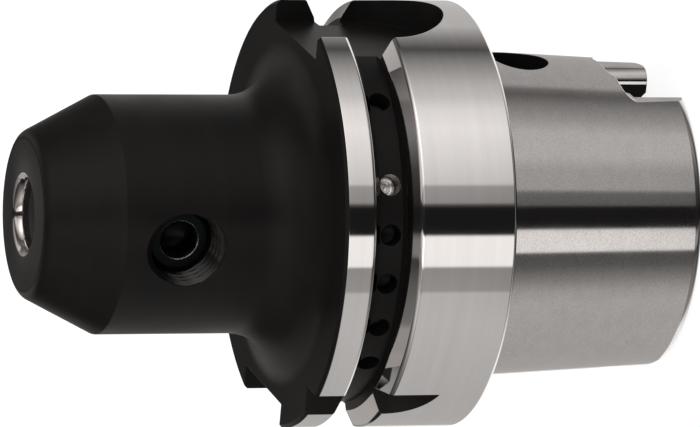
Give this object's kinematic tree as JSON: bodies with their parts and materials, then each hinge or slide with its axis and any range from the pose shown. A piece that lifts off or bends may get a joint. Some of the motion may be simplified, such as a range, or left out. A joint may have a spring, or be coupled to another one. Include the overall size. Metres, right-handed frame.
{
  "type": "side lock end mill holder",
  "caption": "Side lock end mill holder with a hollow taper shank, a gripper flange and a cylindrical neck with a radial clamping screw.",
  "frame": {"origin": "centre of the rear end face of the taper shank, which is the end that goes into the spindle", "axes": "+Z along the rotation axis towards the nose, +X towards the clamping screw, +Y towards the wider flange slot and the radial access hole"},
  "size_m": [0.063, 0.063, 0.097],
  "materials": {
    "holder_steel": "hardened steel with a satin black oxide, ground bright on the shank, the contact face, the flange and the groove flank",
    "screw_steel": "black oxide"
  },
  "bodies": {
    "holder": {"holder_body": "holder_steel"},
    "screw": {"clamping_screw": "screw_steel"}
  },
  "joints": [
    {"name": "screw_travel", "type": "slide", "parent": "holder", "child": "screw", "axis": [1, 0, 0], "range_m": [-0.00175, 0.004]}
  ]
}
